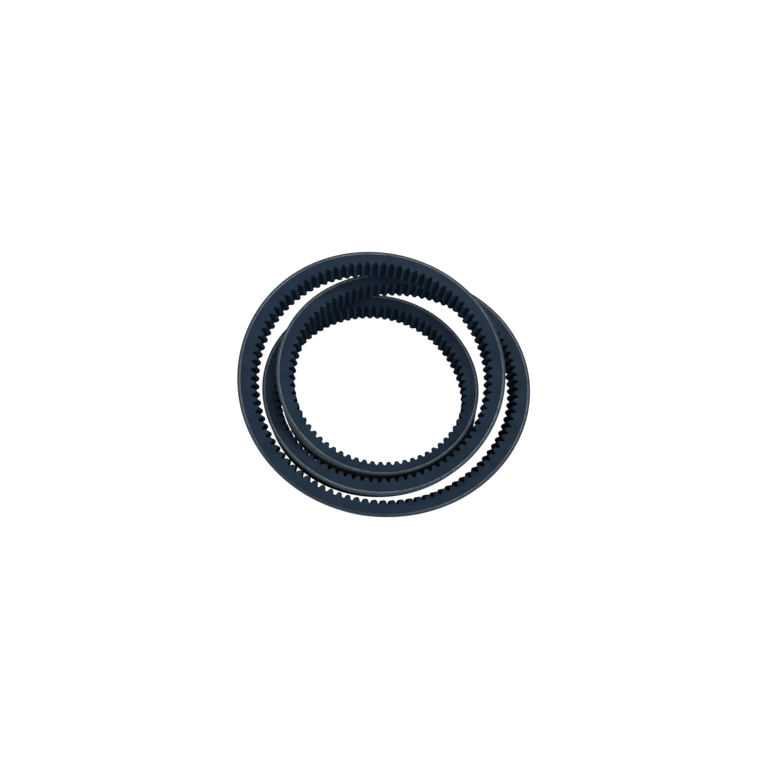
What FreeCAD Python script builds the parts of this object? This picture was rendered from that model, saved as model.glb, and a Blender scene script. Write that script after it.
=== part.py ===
import FreeCAD, Part

import math
import os

from FreeCAD import Vector

# Raw-edge cogged V-belt of classical section A (13 x 8 mm), 1080 mm inside length.
#
# The belt is endless. It lies on its side, wound into three loops for storage:
# the wide back faces outward and the moulded cogs face the middle of the coil.
# From the back inwards the belt is two plies of rubberised fabric, a cushion
# rubber that holds the tensile cord, and the compression rubber with its cogs.
# Neighbouring layers share their edge curves, so they meet face to face.
#
# Frame: +Z up, origin on the resting plane under the middle of the coil's box.

DIMENSIONS = [
    ("top_width", 13.0),            # width of the belt across its back
    ("belt_height", 8.0),           # back to cog tip
    ("flank_angle", 17.0),          # each raw-cut side, from the normal to the back;
                                    # 20 when straight, closed up by the tight bend
    ("cog_count", 244),
    ("cog_depth", 2.0),
    ("notch_root_radius", 0.8),
    ("notch_half_angle", 20.0),     # each side of a notch, from its middle plane
    ("cover_ply_thickness", 0.35),
    ("cord_depth", 1.2),            # back to the middle of the tensile cord
    ("cord_diameter", 0.8),
    ("cord_spacing", 1.1),          # from one winding to the next
    ("cord_windings", 12),
    ("lower_cushion_depth", 2.0),   # back to the foot of the lower cushion rubber
]

# Stations of the cord line, one every 60 degrees over three turns, clockwise
# seen from above and starting at the far side (+Y): distance from the coil's
# axis, height above the resting plane, and lean of the belt in degrees (how
# far its upper side is tipped outward).
STATIONS = [
    (63.5, 30.0, 13), (57.0, 25.5, 11), (55.0, 18.0, 8),
    (57.0, 11.0, 13), (61.5, 10.5, 4), (60.0, 7.0, 16),
    (52.0, 7.0, 12), (44.5, 9.0, 10), (46.5, 9.5, -9),
    (47.5, 6.5, -3), (53.0, 15.5, 1), (55.5, 21.5, 10),
    (62.5, 16.0, 5), (72.0, 8.5, 13), (67.5, 6.5, 18),
    (66.5, 8.0, 16), (71.5, 17.5, 14), (70.5, 29.5, 8),
]
STATION_STEP = 60.0                 # degrees from one station to the next
TABLE_STEP = 0.5                    # degrees between entries of the length table
COG_START = 0.4                     # middle of the first cog, in cogs past station 0
COGS_PER_SPAN = 4                   # cogs from one point of an edge curve to the next
STRETCHES = 4                       # faces that a layer's side is divided into


def make_sheet(document):
    """Spreadsheet with one aliased cell for each driving dimension."""
    sheet = document.addObject("Spreadsheet::Sheet", "Dimensions")
    for row, (alias, value) in enumerate(DIMENSIONS, start=1):
        sheet.set("A%d" % row, alias.replace("_", " "))
        sheet.set("B%d" % row, str(value))
        sheet.setAlias("B%d" % row, alias)
    document.recompute()
    return sheet


def closed_spline(values):
    """Cubic spline through evenly spaced values of a closed loop.

    Returns a function of the position, counted in stations, which gives the
    value and its slope per station.
    """
    count = len(values)
    bends = [0.0] * count
    for _ in range(60):
        for i in range(count):
            jump = values[(i + 1) % count] - 2.0 * values[i] + values[i - 1]
            bends[i] = (6.0 * jump - bends[i - 1] - bends[(i + 1) % count]) / 4.0

    def evaluate(position):
        i = math.floor(position) % count
        after = (i + 1) % count
        v = position - math.floor(position)
        u = 1.0 - v
        value = (u * values[i] + v * values[after]
                 + ((u ** 3 - u) * bends[i] + (v ** 3 - v) * bends[after]) / 6.0)
        slope = (values[after] - values[i]
                 + ((3.0 * v * v - 1.0) * bends[after] - (3.0 * u * u - 1.0) * bends[i]) / 6.0)
        return value, slope

    return evaluate


class Route:
    """The cord line of the coiled belt, with the belt's own axes along it."""

    def __init__(self, cog_count):
        self.radius = closed_spline([station[0] for station in STATIONS])
        self.height = closed_spline([station[1] for station in STATIONS])
        self.lean = closed_spline([float(station[2]) for station in STATIONS])
        self.cog_count = cog_count
        entries = int(len(STATIONS) * STATION_STEP / TABLE_STEP)
        self.angles = [i * TABLE_STEP for i in range(entries + 1)]
        self.lengths = [0.0]
        for start in self.angles[:-1]:
            middle = self.velocity(start + TABLE_STEP / 2.0).Length
            ends = self.velocity(start).Length + self.velocity(start + TABLE_STEP).Length
            self.lengths.append(self.lengths[-1] + TABLE_STEP * (ends + 4.0 * middle) / 6.0)
        self.pitch = self.lengths[-1] / cog_count

    def velocity(self, angle):
        """Change of the cord line's point per degree."""
        turn = math.radians(angle)
        radius, radius_slope = self.radius(angle / STATION_STEP)
        height_slope = self.height(angle / STATION_STEP)[1]
        outward = Vector(math.sin(turn), math.cos(turn), 0.0)
        onward = Vector(math.cos(turn), -math.sin(turn), 0.0)
        return (outward * (radius_slope / STATION_STEP)
                + onward * (radius * math.radians(1.0))
                + Vector(0.0, 0.0, height_slope / STATION_STEP))

    def axes(self, angle):
        """Point, onward, inward and upper directions of the belt at an angle."""
        turn = math.radians(angle)
        radius = self.radius(angle / STATION_STEP)[0]
        height = self.height(angle / STATION_STEP)[0]
        lean = math.radians(self.lean(angle / STATION_STEP)[0])
        point = Vector(radius * math.sin(turn), radius * math.cos(turn), height)
        onward = self.velocity(angle).normalize()
        level = onward.cross(Vector(0.0, 0.0, 1.0)).normalize()
        upright = level.cross(onward)
        inward = level * math.cos(lean) + upright * math.sin(lean)
        upper = upright * math.cos(lean) - level * math.sin(lean)
        return point, onward, inward, upper

    def angle_at(self, cog):
        """Angle at a place along the belt, counted in cogs from the first one."""
        length = (cog + COG_START) % self.cog_count * self.pitch
        low = 0
        high = len(self.lengths) - 1
        while high - low > 1:
            middle = (low + high) // 2
            if self.lengths[middle] <= length:
                low = middle
            else:
                high = middle
        share = (length - self.lengths[low]) / (self.lengths[high] - self.lengths[low])
        return self.angles[low] + share * TABLE_STEP


class Belt:
    """Edge curves of the belt's section, carried along the route."""

    def __init__(self, sheet):
        for alias, _ in DIMENSIONS:
            setattr(self, alias, float(sheet.get(alias)))
        self.cog_count = int(self.cog_count)
        self.cord_windings = int(self.cord_windings)
        self.route = Route(self.cog_count)
        self.curves = {}
        self.origin = Vector(0.0, 0.0, 0.0)
        self.origin = self.middle_of_base()

    def half_width(self, depth):
        """Half of the belt's width at a depth below its back."""
        return self.top_width / 2.0 - depth * math.tan(math.radians(self.flank_angle))

    def place(self, angle, depth, across):
        """Point of the belt at a depth below its back and a distance across."""
        point, _, inward, upper = self.route.axes(angle)
        return point + inward * (depth - self.cord_depth) + upper * across - self.origin

    def middle_of_base(self):
        """Point on the resting plane under the middle of the coil's box."""
        corners = [(0.0, self.half_width(0.0)), (0.0, -self.half_width(0.0))]
        box = FreeCAD.BoundBox()
        for angle in self.route.angles:
            for depth, across in corners:
                box.add(self.place(angle, depth, across))
        return Vector(box.Center.x, box.Center.y, box.ZMin)

    def curve(self, depth, across):
        """Closed edge curve of the belt; its parameter counts cogs."""
        key = (round(depth, 6), round(across, 6))
        if key not in self.curves:
            places = list(range(0, self.cog_count, COGS_PER_SPAN))
            points = [self.place(self.route.angle_at(cog), depth, across) for cog in places]
            curve = Part.BSplineCurve()
            curve.interpolate(Points=points, PeriodicFlag=True,
                              Parameters=[float(cog) for cog in places + [self.cog_count]])
            self.curves[key] = curve
        return self.curves[key]

    def side_faces(self, outline, start, end):
        """Faces that carry a closed section outline from one cog to another."""
        stretches = []
        for corner in outline:
            stretch = self.curve(*corner).copy()
            stretch.segment(float(start), float(end))
            stretches.append(stretch)
        return [ruled_face(stretches[i - 1], stretches[i]) for i in range(len(stretches))]


def ruled_face(first, second):
    """Face of straight lines between two curves that share their knots."""
    poles = [list(pair) for pair in zip(first.getPoles(), second.getPoles())]
    surface = Part.BSplineSurface()
    surface.buildFromPolesMultsKnots(
        poles, first.getMultiplicities(), [2, 2], first.getKnots(), [0.0, 1.0],
        False, False, first.Degree, 1)
    return surface.toShape()


def closed_solid(faces):
    """Solid inside a closed set of faces that meet edge to edge."""
    shell = Part.makeShell(faces)
    shell.sewShape()
    solid = Part.makeSolid(Part.Shell(shell.Faces))
    if solid.Volume < 0.0:
        solid.reverse()
    return solid


def endless_layer(belt, outline):
    """One endless layer or winding of the belt with the given section."""
    length = belt.cog_count / STRETCHES
    faces = []
    for stretch in range(STRETCHES):
        faces += belt.side_faces(outline, stretch * length, (stretch + 1) * length)
    return closed_solid(faces)


def flank_outline(belt, top, bottom):
    """Section of a layer between two depths, from flank to flank."""
    return [
        (top, -belt.half_width(top)), (top, belt.half_width(top)),
        (bottom, belt.half_width(bottom)), (bottom, -belt.half_width(bottom)),
    ]


def cord_centres(belt):
    """Distance across the belt of each winding, from the lower flank up."""
    middle = (belt.cord_windings - 1) / 2.0
    return [(i - middle) * belt.cord_spacing for i in range(belt.cord_windings)]


def cord_reach(belt):
    """Half width, half flat and half height of a winding's hexagon section."""
    radius = belt.cord_diameter / 2.0
    return radius, radius / 2.0, radius * math.sin(math.radians(60.0))


def winding_outline(belt, centre):
    """Hexagon section of a winding; the raw cut slices an outermost one open."""
    radius, flat, rise = cord_reach(belt)
    above = belt.cord_depth - rise
    below = belt.cord_depth + rise
    if centre + radius < belt.half_width(belt.cord_depth) and centre - radius > -belt.half_width(
            belt.cord_depth):
        return [
            (belt.cord_depth, centre - radius), (above, centre - flat), (above, centre + flat),
            (belt.cord_depth, centre + radius), (below, centre + flat), (below, centre - flat),
        ]
    side = math.copysign(1.0, centre)
    return [
        (belt.cord_depth, centre - side * radius), (above, centre - side * flat),
        (above, side * belt.half_width(above)), (below, side * belt.half_width(below)),
        (below, centre - side * flat),
    ]


def cushion_outline(belt, outer_depth, side):
    """Section of the cushion rubber on one side of the cord line.

    side is -1 for the rubber between the cord and the back, +1 for the rubber
    between the cord and the cogs. The face at the cord follows the windings.
    """
    radius, flat, rise = cord_reach(belt)
    crest = belt.cord_depth + side * rise
    centres = cord_centres(belt)
    outline = [(crest, -belt.half_width(crest)), (crest, centres[0] + flat)]
    outline.append((belt.cord_depth, centres[0] + radius))
    for centre in centres[1:-1]:
        outline += [
            (belt.cord_depth, centre - radius), (crest, centre - flat),
            (crest, centre + flat), (belt.cord_depth, centre + radius),
        ]
    outline.append((belt.cord_depth, centres[-1] - radius))
    outline += [(crest, centres[-1] - flat), (crest, belt.half_width(crest))]
    outline += [(outer_depth, belt.half_width(outer_depth)),
                (outer_depth, -belt.half_width(outer_depth))]
    return outline


def notch_tool(belt, cog):
    """Prism that cuts one moulded notch across the belt."""
    root_depth = belt.belt_height - belt.cog_depth
    radius = belt.notch_root_radius
    slope = math.radians(belt.notch_half_angle)
    step = 0.5
    _, onward, inward, upper = belt.route.axes(belt.route.angle_at(cog))
    ahead = belt.place(belt.route.angle_at(cog + step), belt.belt_height, 0.0)
    behind = belt.place(belt.route.angle_at(cog - step), belt.belt_height, 0.0)
    squeeze = (ahead - behind).Length / (2.0 * step * belt.route.pitch)
    overshoot = 1.0
    side_x = radius * math.cos(slope)
    side_y = radius * (1.0 - math.sin(slope))
    mouth_y = belt.cog_depth + overshoot
    mouth_x = side_x + (mouth_y - side_y) * math.tan(slope)
    root = belt.place(belt.route.angle_at(cog), root_depth, -belt.top_width / 2.0)

    def spot(along, out):
        return root + onward * (along * squeeze) + inward * out

    right = spot(side_x, side_y)
    left = spot(-side_x, side_y)
    edges = [
        Part.LineSegment(spot(-mouth_x, mouth_y), left).toShape(),
        Part.Arc(left, spot(0.0, 0.0), right).toShape(),
        Part.LineSegment(right, spot(mouth_x, mouth_y)).toShape(),
        Part.LineSegment(spot(mouth_x, mouth_y), spot(-mouth_x, mouth_y)).toShape(),
    ]
    return Part.Face(Part.Wire(edges)).extrude(upper * belt.top_width)


def cogged_span(belt, outline, start):
    """Faces of one span of the compression rubber, its notches cut."""
    end = start + COGS_PER_SPAN
    caps = []
    for cog in (start, end):
        angle = belt.route.angle_at(cog)
        corners = [belt.place(angle, *corner) for corner in outline]
        caps.append(Part.Face(Part.makePolygon(corners + corners[:1])))
    block = closed_solid(belt.side_faces(outline, start, end) + caps)
    notches = [notch_tool(belt, start + i + 0.5) for i in range(COGS_PER_SPAN)]
    cut = block.cut(notches)
    ends = [cap.CenterOfMass for cap in caps]
    tolerance = 1e-3
    return [face for face in cut.Faces
            if min(face.CenterOfMass.distanceToPoint(end) for end in ends) > tolerance]


def make_compression_rubber(belt):
    """Compression rubber from the lower cushion to the tips of its cogs."""
    outline = flank_outline(belt, belt.lower_cushion_depth, belt.belt_height)
    faces = []
    for start in range(0, belt.cog_count, COGS_PER_SPAN):
        faces += cogged_span(belt, outline, start)
    return closed_solid(faces)


def make_tensile_cord(belt):
    """The windings of the tensile cord, side by side, as separate solids."""
    windings = [endless_layer(belt, winding_outline(belt, centre))
                for centre in cord_centres(belt)]
    return Part.makeCompound(windings)


def add_piece(document, label, shape):
    """Sub-part of the document with its own label."""
    piece = document.addObject("Part::Feature", label)
    piece.Label = label
    piece.Shape = shape
    return piece


def check_and_write(document, pieces):
    """Refuses a failed object or shape, then writes one file for each sub-part."""
    document.recompute()
    for item in document.Objects:
        if "Invalid" in item.State or "Error" in item.State:
            raise RuntimeError("object failed: " + item.Label)
    for piece in pieces:
        if piece.Shape.isNull() or not piece.Shape.isValid():
            raise RuntimeError("bad shape: " + piece.Label)
    os.makedirs("parts", exist_ok=True)
    for piece in pieces:
        piece.Shape.exportStep("parts/%s.step" % piece.Label)
        print("%-22s solids %3d  faces %5d  volume %9.1f" % (
            piece.Label, len(piece.Shape.Solids), len(piece.Shape.Faces), piece.Shape.Volume))


def main():
    document = FreeCAD.newDocument("v_belt")
    belt = Belt(make_sheet(document))
    print("cord line %.1f mm, cog pitch %.3f mm" % (belt.route.lengths[-1], belt.route.pitch))
    ply = belt.cover_ply_thickness
    pieces = [
        add_piece(document, "cover_ply_outer",
                  endless_layer(belt, flank_outline(belt, 0.0, ply))),
        add_piece(document, "cover_ply_inner",
                  endless_layer(belt, flank_outline(belt, ply, 2.0 * ply))),
        add_piece(document, "upper_cushion_rubber",
                  endless_layer(belt, cushion_outline(belt, 2.0 * ply, -1.0))),
        add_piece(document, "tensile_cord", make_tensile_cord(belt)),
        add_piece(document, "lower_cushion_rubber",
                  endless_layer(belt, cushion_outline(belt, belt.lower_cushion_depth, 1.0))),
        add_piece(document, "compression_rubber", make_compression_rubber(belt)),
    ]
    check_and_write(document, pieces)


main()
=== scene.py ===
import math

import bpy
import numpy as np
from mathutils import Matrix, Vector


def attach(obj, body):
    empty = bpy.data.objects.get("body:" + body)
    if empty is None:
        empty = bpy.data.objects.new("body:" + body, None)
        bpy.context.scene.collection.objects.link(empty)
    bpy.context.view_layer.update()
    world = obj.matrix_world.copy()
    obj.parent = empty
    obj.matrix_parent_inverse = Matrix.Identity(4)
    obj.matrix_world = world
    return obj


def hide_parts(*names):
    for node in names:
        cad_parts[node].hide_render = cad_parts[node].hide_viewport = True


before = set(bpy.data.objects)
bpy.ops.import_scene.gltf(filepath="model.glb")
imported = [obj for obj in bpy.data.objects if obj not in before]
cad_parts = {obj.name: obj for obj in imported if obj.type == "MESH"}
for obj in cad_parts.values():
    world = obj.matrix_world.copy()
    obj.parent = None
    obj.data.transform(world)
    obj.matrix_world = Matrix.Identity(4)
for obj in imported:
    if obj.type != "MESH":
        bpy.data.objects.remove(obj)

# Raw-edge cogged V-belt of classical section A, wound into three loops and
# lying on its side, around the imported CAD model. Everything is in metres.

MM = 0.001

# The belt's section, as in the CAD model. Depths are measured from the back.
TOP_WIDTH = 13.0 * MM
BELT_HEIGHT = 8.0 * MM
FLANK_ANGLE = math.radians(17.0)
COG_COUNT = 244
COG_DEPTH = 2.0 * MM
NOTCH_ROOT_RADIUS = 0.8 * MM
NOTCH_HALF_ANGLE = math.radians(20.0)
COVER_PLY = 0.35 * MM
CORD_DEPTH = 1.2 * MM
CORD_RADIUS = 0.4 * MM
CORD_SPACING = 1.1 * MM
CORD_WINDINGS = 12
LOWER_CUSHION_DEPTH = 2.0 * MM

# Small shapes that only the visual model has.
TIP_RADIUS = 1.3 * MM               # rounding of a cog's two corners
ARRIS = 0.10 * MM                   # worn edge between a flank and a cog
BACK_ARRIS = 0.16 * MM              # worn edge between a flank and the back
SEAM = 0.035 * MM                   # groove where two layers meet at the flank
FLOOR_DROP = 0.2 * MM               # floor below the belt, so that they never coincide
SHARP_TURN = math.radians(32.0)     # faces that turn by more meet in a sharp edge
CORD_SHARP_TURN = math.radians(50.0)
ROUND_MIDDLE = 0.3                  # middle of a quarter round from its corner, in radii

# Stretch of the belt along which rubber is smeared over the sliced cord, in
# metres along the cord line from the first cog.
SMEAR_START = 0.86
SMEAR_END = 1.00
SMEAR_FADE = 0.04

# Stations of the cord line, one every 60 degrees over three turns, clockwise
# seen from above and starting at the far side (+Y): distance from the coil's
# axis and height in millimetres, and outward lean of the belt in degrees.
STATIONS = [
    (63.5, 30.0, 13), (57.0, 25.5, 11), (55.0, 18.0, 8),
    (57.0, 11.0, 13), (61.5, 10.5, 4), (60.0, 7.0, 16),
    (52.0, 7.0, 12), (44.5, 9.0, 10), (46.5, 9.5, -9),
    (47.5, 6.5, -3), (53.0, 15.5, 1), (55.5, 21.5, 10),
    (62.5, 16.0, 5), (72.0, 8.5, 13), (67.5, 6.5, 18),
    (66.5, 8.0, 16), (71.5, 17.5, 14), (70.5, 29.5, 8),
]
STATION_STEP = 60.0                 # degrees from one station to the next
TABLE_STEP = 0.5                    # degrees between entries of the length table
COG_START = 0.4                     # middle of the first cog, in cogs past station 0


# ---------------------------------------------------------------- the route

def closed_spline(values):
    """Cubic spline through evenly spaced values of a closed loop: a function
    of the position in stations that gives the value and its slope."""
    values = np.array(values, float)
    count = len(values)
    unit = np.eye(count)
    system = 4.0 * unit + np.roll(unit, 1, 0) + np.roll(unit, -1, 0)
    jumps = np.roll(values, -1) - 2.0 * values + np.roll(values, 1)
    bends = np.linalg.solve(system, 6.0 * jumps)

    def evaluate(position):
        whole = np.floor(position).astype(int)
        v = position - whole
        u = 1.0 - v
        i = whole % count
        after = (i + 1) % count
        value = (u * values[i] + v * values[after]
                 + ((u ** 3 - u) * bends[i] + (v ** 3 - v) * bends[after]) / 6.0)
        slope = (values[after] - values[i]
                 + ((3.0 * v * v - 1.0) * bends[after] - (3.0 * u * u - 1.0) * bends[i]) / 6.0)
        return value, slope

    return evaluate


def unit_rows(rows):
    """Rows scaled to a length of one."""
    return rows / np.linalg.norm(rows, axis=1)[:, None]


class Route:
    """The cord line of the coiled belt, with the belt's own axes along it."""

    def __init__(self):
        radius, height, lean = (np.array(column, float) for column in zip(*STATIONS))
        self.radius = closed_spline(radius * MM)
        self.height = closed_spline(height * MM)
        self.lean = closed_spline(np.radians(lean))
        self.angles = np.arange(0.0, len(STATIONS) * STATION_STEP + TABLE_STEP / 2.0, TABLE_STEP)
        ends = np.linalg.norm(self.velocity(self.angles), axis=1)
        middles = np.linalg.norm(self.velocity(self.angles[:-1] + TABLE_STEP / 2.0), axis=1)
        steps = TABLE_STEP * (ends[:-1] + 4.0 * middles + ends[1:]) / 6.0
        self.lengths = np.concatenate([[0.0], np.cumsum(steps)])
        self.length = self.lengths[-1]
        self.pitch = self.length / COG_COUNT
        self.origin = np.zeros(3)
        half = TOP_WIDTH / 2.0
        corners = np.concatenate([self.places(self.axes(self.angles), 0.0, side)
                                  for side in (-half, half)])
        low, high = corners.min(0), corners.max(0)
        self.origin = np.array([(low[0] + high[0]) / 2.0, (low[1] + high[1]) / 2.0, low[2]])

    def velocity(self, angles):
        """Change of the cord line's point per degree."""
        turn = np.radians(angles)
        radius, radius_slope = self.radius(angles / STATION_STEP)
        height_slope = self.height(angles / STATION_STEP)[1]
        outward = np.stack([np.sin(turn), np.cos(turn), 0.0 * turn], 1)
        onward = np.stack([np.cos(turn), -np.sin(turn), 0.0 * turn], 1)
        rise = np.stack([0.0 * turn, 0.0 * turn, height_slope / STATION_STEP], 1)
        return (outward * (radius_slope / STATION_STEP)[:, None]
                + onward * (radius * math.radians(1.0))[:, None] + rise)

    def axes(self, angles):
        """Points of the cord line, with the inward and upper directions."""
        turn = np.radians(angles)
        radius = self.radius(angles / STATION_STEP)[0]
        height = self.height(angles / STATION_STEP)[0]
        lean = self.lean(angles / STATION_STEP)[0][:, None]
        points = np.stack([radius * np.sin(turn), radius * np.cos(turn), height], 1) - self.origin
        onward = unit_rows(self.velocity(angles))
        level = unit_rows(np.cross(onward, [0.0, 0.0, 1.0]))
        upright = np.cross(level, onward)
        inward = level * np.cos(lean) + upright * np.sin(lean)
        upper = upright * np.cos(lean) - level * np.sin(lean)
        return points, inward, upper

    def axes_at(self, cogs):
        """The same at places along the belt, counted in cogs from the first one."""
        lengths = np.mod(cogs + COG_START, COG_COUNT) * self.pitch
        return self.axes(np.interp(lengths, self.lengths, self.angles))

    @staticmethod
    def places(axes, depth, across):
        """Points at a depth below the back and a distance across the belt."""
        points, inward, upper = axes
        return points + inward * (depth - CORD_DEPTH) + upper * across


def half_width(depth):
    """Half of the belt's width at a depth below its back."""
    return TOP_WIDTH / 2.0 - depth * math.tan(FLANK_ANGLE)


# ------------------------------------------------------------- swept meshes

def swept_mesh(name, route, cogs, depth, across):
    """Closed band through sections given, for each place along the belt, by
    the depth and the distance across of the section's corners in order.

    Its UV map runs along the belt in u and round the section in v, in metres.
    """
    points, inward, upper = (a[:, None, :] for a in route.axes_at(cogs))
    co = points + inward * (depth - CORD_DEPTH)[..., None] + upper * across[..., None]
    rows, columns = depth.shape
    i = np.repeat(np.arange(rows), columns)
    k = np.tile(np.arange(columns), rows)
    after_i = (i + 1) % rows
    after_k = (k + 1) % columns
    quads = np.stack([i * columns + k, i * columns + after_k,
                      after_i * columns + after_k, after_i * columns + k], 1)
    mesh = bpy.data.meshes.new(name)
    mesh.from_pydata(co.reshape(-1, 3).tolist(), [], quads.tolist())
    reach = np.append(cogs, cogs[0] + COG_COUNT) * route.pitch
    steps = np.hypot(np.roll(depth, -1, 1) - depth, np.roll(across, -1, 1) - across).mean(0)
    round_section = np.concatenate([[0.0], np.cumsum(steps)])
    u = np.stack([reach[i], reach[i], reach[i + 1], reach[i + 1]], 1)
    v = np.stack([round_section[k], round_section[k + 1],
                  round_section[k + 1], round_section[k]], 1)
    layer = mesh.uv_layers.new(name="BeltUV")
    layer.data.foreach_set("uv", np.stack([u, v], 2).reshape(-1).astype(np.float32))
    mesh.polygons.foreach_set("use_smooth", np.ones(len(quads), bool))
    mesh.update()
    mesh.set_sharp_from_angle(angle=SHARP_TURN)
    return mesh


def add_piece(name, mesh, nodes, materials):
    """Piece that rides on the belt's body and stands for its CAD nodes."""
    piece = bpy.data.objects.new(name, mesh)
    bpy.context.scene.collection.objects.link(piece)
    for material in materials:
        mesh.materials.append(material)
    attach(piece, "root")
    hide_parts(*nodes)
    return piece


def even_places(per_cog):
    """Evenly spaced places all along the belt, counted in cogs."""
    return np.arange(COG_COUNT * per_cog) / per_cog


def constant_section(name, route, outline, per_cog):
    """Band with the same section all along the belt."""
    cogs = even_places(per_cog)
    outline = np.array(outline)
    depth = np.tile(outline[:, 0], (len(cogs), 1))
    across = np.tile(outline[:, 1], (len(cogs), 1))
    return swept_mesh(name, route, cogs, depth, across)


# ------------------------------------------------------- layers of the belt

def mirrored(half):
    """Whole section from its upper half, which runs from the middle of the
    back, round the upper flank, to the middle of the inner side."""
    lower = [(depth, -across) for depth, across in reversed(half) if across > 0.0]
    return half + lower


def cover_outline(top, bottom, arris):
    """Section of a cover ply, with worn edges and a seam towards the next."""
    return mirrored([
        (top, 0.0), (top, 0.5 * half_width(top)), (top, half_width(top) - arris),
        (top + ROUND_MIDDLE * arris, half_width(top) - ROUND_MIDDLE * arris),
        (top + arris, half_width(top + arris)),
        (bottom - SEAM, half_width(bottom - SEAM)), (bottom, half_width(bottom) - SEAM),
        (bottom, 0.5 * half_width(bottom)), (bottom, 0.0),
    ])


def cord_centres():
    """Distance across the belt of each winding's middle."""
    middle = (CORD_WINDINGS - 1) / 2.0
    return [(i - middle) * CORD_SPACING for i in range(CORD_WINDINGS)]


def channel(centre, side, start, end, steps):
    """Arc of a winding's surface, as seen from the rubber on one side of it.

    Angles are in degrees from the direction across the belt; side is -1
    towards the back and +1 towards the cogs.
    """
    turns = np.radians(np.linspace(start, end, steps + 1))
    return [(CORD_DEPTH + side * CORD_RADIUS * math.sin(a), centre + CORD_RADIUS * math.cos(a))
            for a in turns]


def cushion_outline(outer_depth, side):
    """Section of the cushion rubber between the windings and one neighbour."""
    centres = cord_centres()
    edge = CORD_DEPTH + side * CORD_RADIUS
    outline = [(edge, -half_width(edge))]
    outline += channel(centres[0], side, 90.0, 0.0, 3)
    for centre in centres[1:-1]:
        outline += channel(centre, side, 180.0, 0.0, 6)
    outline += channel(centres[-1], side, 180.0, 90.0, 3)
    outline += [(edge, half_width(edge)),
                (outer_depth - side * SEAM, half_width(outer_depth - side * SEAM)),
                (outer_depth, half_width(outer_depth) - SEAM),
                (outer_depth, -half_width(outer_depth) + SEAM),
                (outer_depth - side * SEAM, -half_width(outer_depth - side * SEAM))]
    return outline if side > 0 else outline[::-1]


def notch_profile(route):
    """Places and depths of the cogged side over one pitch, notch in the middle.

    The root is an arc, the sides are straight and a cog's corners are rounded.
    """
    root = BELT_HEIGHT - COG_DEPTH
    slope = NOTCH_HALF_ANGLE
    points = 5
    root_turn = np.linspace(0.0, math.pi / 2.0 - slope, points)
    arc = [(NOTCH_ROOT_RADIUS * math.sin(a), root + NOTCH_ROOT_RADIUS * (1.0 - math.cos(a)))
           for a in root_turn]
    corner = arc[-1][0] + (BELT_HEIGHT - arc[-1][1]) * math.tan(slope)
    setback = TIP_RADIUS * math.tan((math.pi / 2.0 - slope) / 2.0)
    centre = (corner + setback, BELT_HEIGHT - TIP_RADIUS)
    tip_turn = np.linspace(math.pi / 2.0 - slope, 0.0, points)
    tip = [(centre[0] - TIP_RADIUS * math.sin(a), centre[1] + TIP_RADIUS * math.cos(a))
           for a in tip_turn]
    half = arc + tip + [(route.pitch / 2.0, BELT_HEIGHT)]
    along = np.array([-x for x, _ in half[:0:-1]] + [x for x, _ in half[:-1]])
    depth = np.array([a for _, a in half[:0:-1]] + [a for _, a in half[:-1]])
    return 0.5 + along / route.pitch, depth


def cogged_band(route):
    """Compression rubber: smooth ground flanks and the cogs. Cog tips take the ground rubber;
    notch walls and roots take a second rubber whose darker colour is painted shade in the
    notches.
    """
    along, bottom = notch_profile(route)
    cogs = (np.arange(COG_COUNT)[:, None] + along[None, :]).reshape(-1)
    bottom = np.tile(bottom, COG_COUNT)
    top = LOWER_CUSHION_DEPTH
    depth = [np.full_like(bottom, top), np.full_like(bottom, top + SEAM)]
    across = [half_width(depth[0]) - SEAM, half_width(depth[1])]
    for share in (0.35, 0.7, 0.9, 1.0):
        row = top + SEAM + share * (bottom - ARRIS - top - SEAM)
        depth.append(row)
        across.append(half_width(row))
    flank_rows = len(depth)
    depth.append(bottom - ROUND_MIDDLE * ARRIS)
    across.append(half_width(bottom) - ROUND_MIDDLE * ARRIS)
    for share in (1.0, 0.6, 0.2):
        depth.append(bottom)
        across.append(share * (half_width(bottom) - ARRIS))
    depth = np.stack(depth + depth[::-1], 1)
    across = np.stack(across + [-row for row in across[::-1]], 1)
    mesh = swept_mesh("belt_compression_rubber", route, cogs, depth, across)
    columns = depth.shape[1]
    row, column = np.divmod(np.arange(len(mesh.polygons)), columns)
    inner_side = (column >= flank_rows) & (column < columns - flank_rows - 1)
    tip_drop = 0.2 * TIP_RADIUS     # ground rubber ends this far below a cog's tip
    tip = np.minimum(bottom, np.roll(bottom, -1)) > BELT_HEIGHT - tip_drop
    # Notch walls and roots take material 1, whose darker colour is painted shade in the notches.
    shaded_notch = inner_side & ~tip[row]
    mesh.polygons.foreach_set("material_index", shaded_notch.astype(np.int32))
    return mesh


def cord_windings(route):
    """Tensile cord: round inner windings, and an outermost one at each flank
    that the raw cut has sliced open to show its twisted strands."""
    meshes = []
    centres = cord_centres()
    turns = np.radians(np.arange(0.0, 360.0, 60.0))
    for centre in centres[1:-1]:
        outline = [(CORD_DEPTH - CORD_RADIUS * math.sin(a), centre + CORD_RADIUS * math.cos(a))
                   for a in turns]
        meshes.append(constant_section("winding", route, outline, per_cog=2))
    for side in (-1.0, 1.0):
        meshes.append(sliced_winding(route, side))
    return joined("belt_tensile_cord", meshes)


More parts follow.
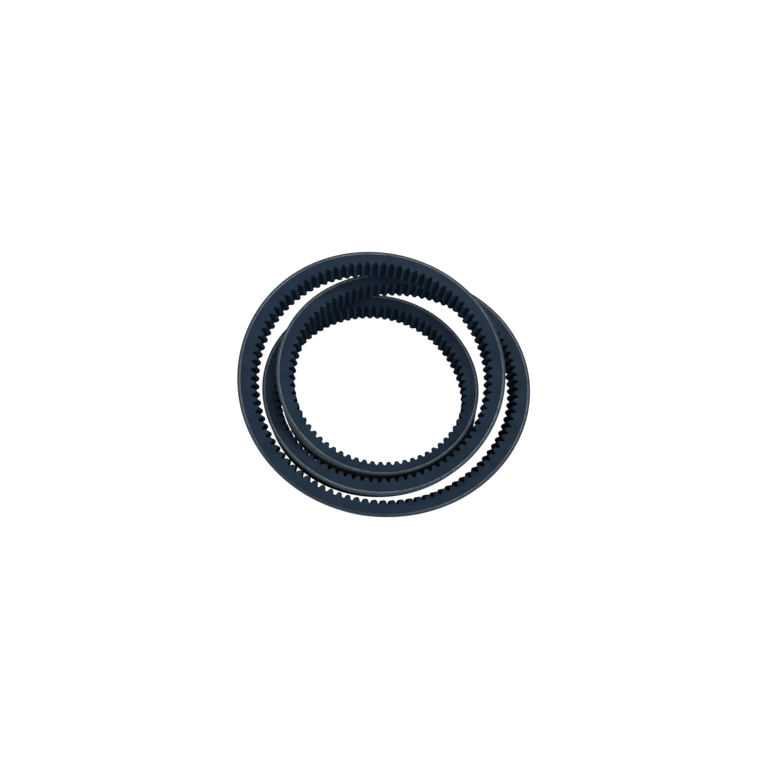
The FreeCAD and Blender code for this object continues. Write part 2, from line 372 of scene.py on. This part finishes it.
def sliced_winding(route, side):
    """Outermost winding: a half round whose cut face bears twisted strands."""
    strand_lay = 1.6 * MM           # from one strand to the next but one
    strand_rise = 0.035 * MM
    slant = 0.75                    # lays that a strand runs on across the cut
    cogs = even_places(per_cog=12)
    centre = side * (CORD_WINDINGS - 1) / 2.0 * CORD_SPACING
    depth = []
    across = []
    for turn in np.radians([90.0, 135.0, 180.0, 225.0, 270.0]):
        depth.append(np.full_like(cogs, CORD_DEPTH - CORD_RADIUS * math.sin(turn)))
        across.append(np.full_like(cogs, centre + side * CORD_RADIUS * math.cos(turn)))
    for share in np.linspace(0.9, -0.9, 7):
        row = CORD_DEPTH + share * CORD_RADIUS
        phase = 2.0 * math.pi * (cogs * route.pitch / strand_lay + slant * share)
        lift = strand_rise * (np.abs(np.sin(phase)) - 0.5) * math.sqrt(1.0 - 0.9 * share ** 2)
        depth.append(np.full_like(cogs, row))
        across.append(side * (half_width(row) + lift))
    depth = np.stack(depth, 1)
    across = np.stack(across, 1)
    if side < 0.0:
        depth = depth[:, ::-1]
        across = across[:, ::-1]
    return swept_mesh("sliced_winding", route, cogs, depth, across)


def joined(name, meshes):
    """One mesh from several, with their UV maps."""
    offsets = np.cumsum([0] + [len(mesh.vertices) for mesh in meshes])
    co = []
    quads = []
    uv = []
    for mesh, offset in zip(meshes, offsets):
        points = np.empty(len(mesh.vertices) * 3, np.float32)
        mesh.vertices.foreach_get("co", points)
        corners = np.empty(len(mesh.loops), np.int32)
        mesh.loops.foreach_get("vertex_index", corners)
        places = np.empty(len(mesh.loops) * 2, np.float32)
        mesh.uv_layers["BeltUV"].data.foreach_get("uv", places)
        co.append(points.reshape(-1, 3))
        quads.append(corners.reshape(-1, 4) + offset)
        uv.append(places)
        bpy.data.meshes.remove(mesh)
    whole = bpy.data.meshes.new(name)
    quads = np.concatenate(quads)
    whole.from_pydata(np.concatenate(co).tolist(), [], quads.tolist())
    whole.uv_layers.new(name="BeltUV").data.foreach_set("uv", np.concatenate(uv))
    whole.polygons.foreach_set("use_smooth", np.ones(len(quads), bool))
    whole.update()
    whole.set_sharp_from_angle(angle=CORD_SHARP_TURN)
    return whole


# ---------------------------------------------------------------- materials

class Shader:
    """A material's node tree, with short calls for what the materials need.

    Scales of noise and of belt places are per metre.
    """

    def __init__(self, name):
        self.material = bpy.data.materials.new(name)
        self.material.use_nodes = True
        self.tree = self.material.node_tree
        self.surface = self.tree.nodes["Principled BSDF"]

    def node(self, kind, inputs=None, **settings):
        node = self.tree.nodes.new(kind)
        for key, value in settings.items():
            setattr(node, key, value)
        for key, value in (inputs or {}).items():
            self.put(value, node.inputs[key])
        return node

    def put(self, value, socket):
        if isinstance(value, bpy.types.NodeSocket):
            self.tree.links.new(value, socket)
        else:
            socket.default_value = value

    def set(self, **values):
        for key, value in values.items():
            self.put(value, self.surface.inputs[key.replace("_", " ")])

    def math(self, operation, first, second=0.0, third=0.0):
        node = self.node("ShaderNodeMath", {0: first, 1: second, 2: third}, operation=operation)
        return node.outputs[0]

    def blend(self, share, first, second):
        """Mix of two colours, which are a mix node's inputs 6 and 7."""
        node = self.node("ShaderNodeMix", {0: share, 6: first, 7: second}, data_type="RGBA")
        return node.outputs[2]

    def spread(self, value, low, high, to_low=0.0, to_high=1.0):
        """Value moved from one range to another, and kept within it."""
        node = self.node("ShaderNodeMapRange",
                         {0: value, 1: low, 2: high, 3: to_low, 4: to_high})
        return node.outputs[0]

    def object_place(self):
        return self.node("ShaderNodeTexCoord").outputs["Object"]

    def belt_place(self, along, round_section):
        """Belt coordinates, stretched by a factor along and round the belt."""
        place = self.node("ShaderNodeUVMap", uv_map="BeltUV").outputs[0]
        scaled = self.node("ShaderNodeVectorMath",
                           {0: place, 1: (along, round_section, 1.0)}, operation="MULTIPLY")
        return scaled.outputs[0]

    def noise(self, place, scale, detail=3.0, roughness=0.5):
        node = self.node("ShaderNodeTexNoise",
                         {"Vector": place, "Scale": scale, "Detail": detail,
                          "Roughness": roughness})
        return node.outputs[0]

    def relief(self, height, distance, strength, below=None):
        inputs = {"Height": height, "Distance": distance, "Strength": strength}
        if below is not None:
            inputs["Normal"] = below
        return self.node("ShaderNodeBump", inputs).outputs[0]


def rubber_material(name, dark, light, roughness, shine, grain, scratch, speck):
    """Filled rubber: mottled colour, grain, grinding marks and fibre ends."""
    s = Shader(name)
    place = s.object_place()
    mottle = s.noise(place, 90.0, 4.0, 0.6)
    colour = s.blend(s.spread(mottle, 0.3, 0.7), dark, light)
    fibres = s.noise(s.belt_place(2600.0, 4200.0), 1.0, 1.0, 0.4)
    ends = s.spread(fibres, 0.66, 0.74, 0.0, speck)
    pale = tuple(min(1.0, 3.0 * c) for c in light[:3]) + (1.0,)
    colour = s.blend(ends, colour, pale)
    marks = s.noise(s.belt_place(60.0, 5200.0), 1.0, 3.0, 0.55)
    fine = s.noise(place, 4200.0, 2.0, 0.5)
    coarse = s.noise(place, 900.0, 3.0, 0.5)
    bumps = s.relief(marks, 0.05 * MM, scratch)
    bumps = s.relief(fine, 0.03 * MM, grain, bumps)
    bumps = s.relief(coarse, 0.08 * MM, 0.6 * grain, bumps)
    dull = s.spread(s.noise(place, 260.0, 3.0, 0.6), 0.3, 0.7, roughness - 0.06, roughness + 0.06)
    s.set(Base_Color=colour, Roughness=dull, Normal=bumps, Specular_IOR_Level=shine)
    return s.material


def fabric_material(name):
    """Rubberised fabric cut on the bias: threads at 45 degrees either way."""
    s = Shader(name)
    thread = 0.62 * MM
    length = 1.12                   # metres, just under the belt's own
    threads = round(length / (thread * math.sqrt(2.0)))
    turns = 2.0 * math.pi * threads / length
    split = s.node("ShaderNodeSeparateXYZ", {0: s.belt_place(turns, turns)})
    first = s.math("SINE", s.math("ADD", split.outputs[0], split.outputs[1]))
    second = s.math("SINE", s.math("SUBTRACT", split.outputs[0], split.outputs[1]))
    weave = s.math("MULTIPLY_ADD", s.math("MULTIPLY", first, second), 0.5, 0.5)
    place = s.object_place()
    mottle = s.noise(place, 120.0, 4.0, 0.6)
    colour = s.blend(s.spread(mottle, 0.3, 0.7), (0.032, 0.048, 0.068, 1.0),
                     (0.046, 0.065, 0.088, 1.0))
    colour = s.blend(s.math("MULTIPLY", weave, 0.35), colour, (0.080, 0.096, 0.115, 1.0))
    fuzz = s.noise(place, 5200.0, 2.0, 0.5)
    bumps = s.relief(weave, 0.07 * MM, 0.5)
    bumps = s.relief(fuzz, 0.03 * MM, 0.35, bumps)
    s.set(Base_Color=colour, Normal=bumps)
    s.set(Roughness=0.8, Specular_IOR_Level=0.12, Sheen_Weight=0.05, Sheen_Roughness=0.5)
    return s.material


def cord_material(name):
    """Sliced polyester cord: pale filaments, dulled by rubber in patches and
    smeared over along one stretch."""
    s = Shader(name)
    streak = s.noise(s.belt_place(900.0, 7000.0), 1.0, 2.0, 0.5)
    patch = s.noise(s.object_place(), 320.0, 3.0, 0.6)
    colour = s.blend(s.spread(streak, 0.35, 0.65), (0.085, 0.110, 0.140, 1.0),
                     (0.21, 0.26, 0.31, 1.0))
    colour = s.blend(s.spread(patch, 0.42, 0.66, 0.0, 0.6), colour, (0.035, 0.05, 0.07, 1.0))
    stretch = s.noise(s.belt_place(22.0, 0.0), 1.0, 1.0, 0.5)
    colour = s.blend(s.spread(stretch, 0.42, 0.62, 0.0, 0.35), colour, (0.025, 0.04, 0.06, 1.0))
    along = s.node("ShaderNodeSeparateXYZ", {0: s.belt_place(1.0, 1.0)}).outputs[0]
    smeared = s.math("MULTIPLY", s.spread(along, SMEAR_START, SMEAR_START + SMEAR_FADE),
                     s.spread(along, SMEAR_END, SMEAR_END - SMEAR_FADE))
    colour = s.blend(s.math("MULTIPLY", smeared, 0.85), colour, (0.016, 0.030, 0.048, 1.0))
    s.set(Base_Color=colour, Normal=s.relief(streak, 0.04 * MM, 0.6))
    s.set(Roughness=0.6, Specular_IOR_Level=0.2)
    return s.material


def studio_material():
    """White paper lit from behind, so that it shows no shadow."""
    s = Shader("studio_white")
    s.set(Base_Color=(0.1, 0.1, 0.1, 1.0), Roughness=0.9, Specular_IOR_Level=0.0)
    s.set(Emission_Color=(1.0, 1.0, 1.0, 1.0), Emission_Strength=1.02)
    return s.material


# --------------------------------------------------------- camera and light

def add_camera(route):
    """Camera at the coil's near side, looking down at it."""
    place = Vector((-15.8 * MM, -160.1 * MM, 330.7 * MM)) - Vector(route.origin)
    pan = math.radians(4.835)
    tilt = math.radians(63.07)
    roll = math.radians(7.06)
    ahead = Vector((math.sin(pan) * math.cos(tilt), math.cos(pan) * math.cos(tilt),
                    -math.sin(tilt)))
    right = Vector((math.cos(pan), -math.sin(pan), 0.0))
    up = right.cross(ahead)
    right, up = (right * math.cos(roll) + up * math.sin(roll),
                 up * math.cos(roll) - right * math.sin(roll))
    data = bpy.data.cameras.new("camera")
    data.sensor_width = 36.0
    data.lens = 32.5
    data.clip_start = 0.01
    camera = bpy.data.objects.new("camera", data)
    turn = Matrix((right, up, -ahead)).transposed()
    camera.matrix_world = Matrix.Translation(place) @ turn.to_4x4()
    bpy.context.scene.collection.objects.link(camera)
    bpy.context.scene.camera = camera


def add_area(name, place, size, power):
    """Round soft light that points at the middle of the coil's foot."""
    data = bpy.data.lights.new(name, "AREA")
    data.shape = "DISK"
    data.size = size
    data.energy = power
    light = bpy.data.objects.new(name, data)
    light.location = place
    light.rotation_euler = (-Vector(place)).to_track_quat("-Z", "Y").to_euler()
    bpy.context.scene.collection.objects.link(light)


def add_dome(strength):
    """Soft white light from every side above the floor, and none from below."""
    world = bpy.data.worlds.new("studio")
    world.use_nodes = True
    tree = world.node_tree
    place = tree.nodes.new("ShaderNodeTexCoord")
    split = tree.nodes.new("ShaderNodeSeparateXYZ")
    above = tree.nodes.new("ShaderNodeMapRange")
    horizon = 0.02
    above.inputs["From Min"].default_value = -horizon
    above.inputs["From Max"].default_value = horizon
    above.inputs["To Max"].default_value = strength
    tree.links.new(place.outputs["Generated"], split.inputs[0])
    tree.links.new(split.outputs["Z"], above.inputs["Value"])
    background = tree.nodes["Background"]
    background.inputs["Color"].default_value = (1.0, 1.0, 1.0, 1.0)
    tree.links.new(above.outputs[0], background.inputs["Strength"])
    bpy.context.scene.world = world


def add_stage():
    """Plain white floor that curves up into a backdrop, and soft studio light."""
    floor_radius = 1.4
    bend_radius = 0.6
    wall_height = 2.5
    turns = np.radians(np.arange(0.0, 360.0, 5.0))
    profile = [(floor_radius + bend_radius * math.sin(a), bend_radius - bend_radius * math.cos(a))
               for a in np.radians(np.arange(0.0, 91.0, 10.0))]
    profile.append((floor_radius + bend_radius, wall_height))
    co = [(r * math.cos(t), r * math.sin(t), z) for r, z in profile for t in turns]
    count = len(turns)
    faces = [tuple(range(count))]
    for row in range(len(profile) - 1):
        for i in range(count):
            j = (i + 1) % count
            faces.append((row * count + j, row * count + i,
                          (row + 1) * count + i, (row + 1) * count + j))
    mesh = bpy.data.meshes.new("backdrop")
    mesh.from_pydata(co, [], faces)
    mesh.polygons.foreach_set("use_smooth", np.ones(len(faces), bool))
    mesh.materials.append(studio_material())
    backdrop = bpy.data.objects.new("backdrop", mesh)
    backdrop.location.z = -FLOOR_DROP
    backdrop.visible_diffuse = False
    backdrop.visible_glossy = False
    bpy.context.scene.collection.objects.link(backdrop)
    add_dome(strength=0.62)
    add_area("key", place=(0.20, 0.55, 0.62), size=0.5, power=2.2)
    add_area("front", place=(0.10, -0.85, 0.32), size=0.6, power=3.0)
    bpy.context.scene.view_settings.view_transform = "Standard"


# ------------------------------------------------------------------- making

def main():
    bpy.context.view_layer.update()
    route = Route()
    add_camera(route)
    add_stage()

    ground = rubber_material(
        "ground_rubber", dark=(0.008, 0.020, 0.039, 1.0), light=(0.016, 0.034, 0.061, 1.0),
        roughness=0.60, shine=0.13, grain=0.5, scratch=0.5, speck=0.35)
    # Rubber of the notch walls and roots: its darker colour is painted shade in the notches; its
    # higher roughness, lower shine and lack of grinding marks belong to the surface left by the
    # mould.
    notch_shade_rubber = rubber_material(
        "notch_rubber_painted_shade", dark=(0.005, 0.011, 0.019, 1.0), light=(0.009, 0.018, 0.029, 1.0),
        roughness=0.75, shine=0.05, grain=0.35, scratch=0.0, speck=0.0)
    cushion = rubber_material(
        "cushion_rubber", dark=(0.009, 0.020, 0.037, 1.0), light=(0.014, 0.029, 0.050, 1.0),
        roughness=0.60, shine=0.13, grain=0.4, scratch=0.4, speck=0.1)
    fabric = fabric_material("cover_fabric")
    cord = cord_material("polyester_cord")

    add_piece("belt_cover_outer",
              constant_section("belt_cover_outer", route,
                               cover_outline(0.0, COVER_PLY, BACK_ARRIS), 4),
              ["cover_ply_outer"], [fabric])
    add_piece("belt_cover_inner",
              constant_section("belt_cover_inner", route,
                               cover_outline(COVER_PLY, 2.0 * COVER_PLY, SEAM), 4),
              ["cover_ply_inner"], [fabric])
    add_piece("belt_upper_cushion",
              constant_section("belt_upper_cushion", route,
                               cushion_outline(2.0 * COVER_PLY, -1.0), 3),
              ["upper_cushion_rubber"], [cushion])
    add_piece("belt_lower_cushion",
              constant_section("belt_lower_cushion", route,
                               cushion_outline(LOWER_CUSHION_DEPTH, 1.0), 3),
              ["lower_cushion_rubber"], [cushion])
    add_piece("belt_tensile_cord", cord_windings(route), ["tensile_cord"], [cord])
    add_piece("belt_compression_rubber", cogged_band(route),
              ["compression_rubber"], [ground, notch_shade_rubber])


main()
